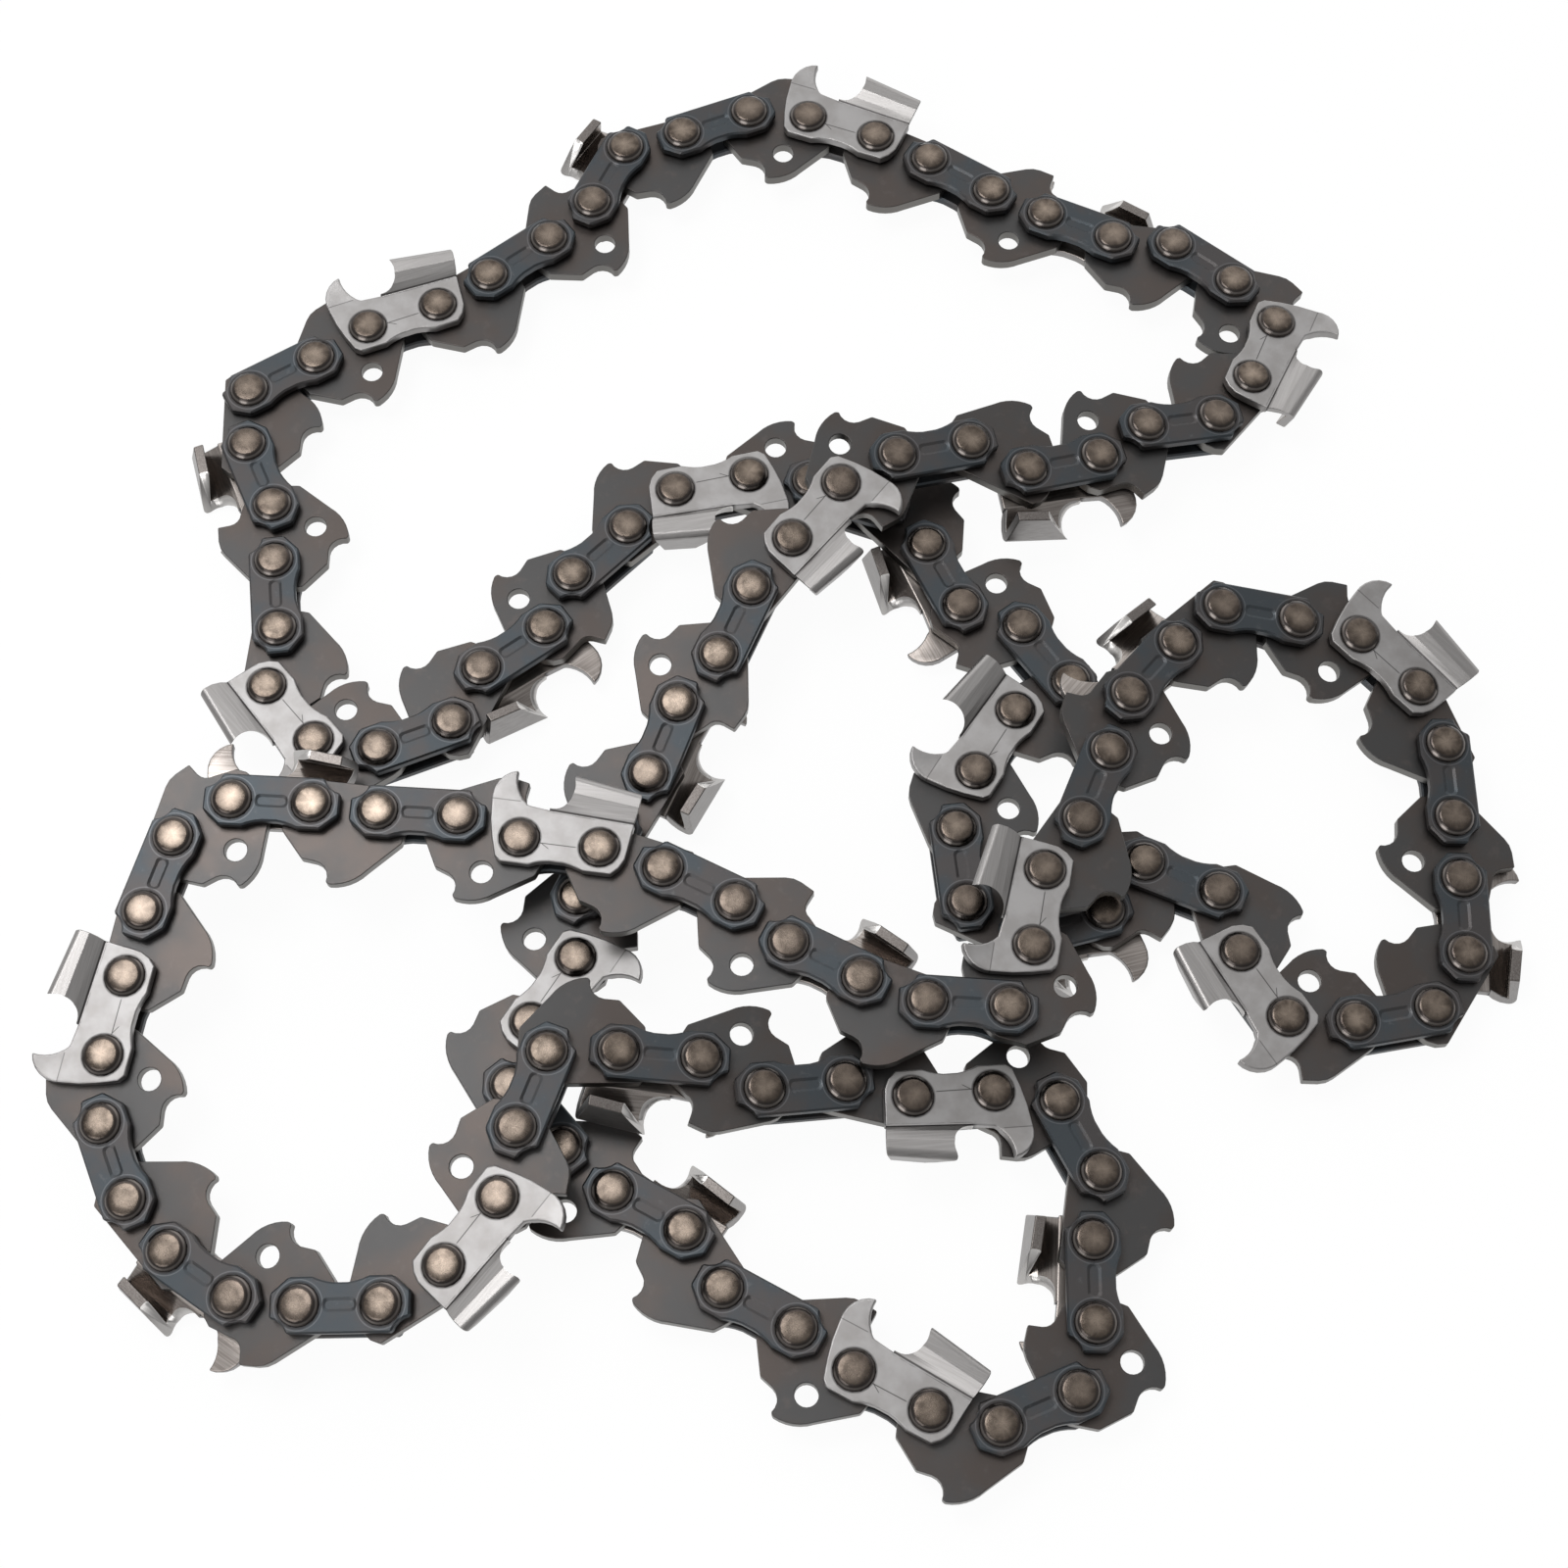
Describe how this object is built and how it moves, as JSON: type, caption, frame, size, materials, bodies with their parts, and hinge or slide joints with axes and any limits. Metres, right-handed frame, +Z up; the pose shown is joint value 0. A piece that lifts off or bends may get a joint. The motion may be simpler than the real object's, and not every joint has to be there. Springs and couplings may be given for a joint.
{
  "type": "chainsaw chain loop",
  "caption": "Closed loop of saw chain lying on its side in a loose, crossed heap: hooked drive links, riveted tie straps and left and right cutters with depth gauges.",
  "frame": {"origin": "middle of the heap's outline, on the table", "axes": "+Z up from the table, along the rivets; +X to the right and +Y away from the viewer in the picture"},
  "size_m": [0.166, 0.1804, 0.0141],
  "materials": {
    "strap_steel": "blued, satin",
    "drive_steel": "dark, satin",
    "cutter_steel": "bright, satin",
    "rivet_steel": "dark, burnished"
  },
  "bodies": {
    "root": {"rivets": "rivet_steel", "bumper_drive_links": "drive_steel", "plain_drive_links": "drive_steel", "near_tie_straps": "strap_steel", "far_tie_straps": "strap_steel", "near_backing_straps": "strap_steel", "far_backing_straps": "strap_steel", "left_cutter_01": "cutter_steel", "left_cutter_02": "cutter_steel", "left_cutter_03": "cutter_steel", "left_cutter_04": "cutter_steel", "left_cutter_05": "cutter_steel", "left_cutter_06": "cutter_steel", "left_cutter_07": "cutter_steel", "left_cutter_08": "cutter_steel", "left_cutter_09": "cutter_steel", "left_cutter_10": "cutter_steel", "left_cutter_11": "cutter_steel", "left_cutter_12": "cutter_steel", "left_cutter_13": "cutter_steel", "left_cutter_14": "cutter_steel", "left_cutter_15": "cutter_steel", "left_cutter_16": "cutter_steel", "right_cutter_01": "cutter_steel", "right_cutter_02": "cutter_steel", "right_cutter_03": "cutter_steel", "right_cutter_04": "cutter_steel", "right_cutter_05": "cutter_steel", "right_cutter_06": "cutter_steel", "right_cutter_07": "cutter_steel", "right_cutter_08": "cutter_steel", "right_cutter_09": "cutter_steel", "right_cutter_10": "cutter_steel", "right_cutter_11": "cutter_steel", "right_cutter_12": "cutter_steel", "right_cutter_13": "cutter_steel", "right_cutter_14": "cutter_steel", "right_cutter_15": "cutter_steel", "right_cutter_16": "cutter_steel"}
  },
  "joints": []
}
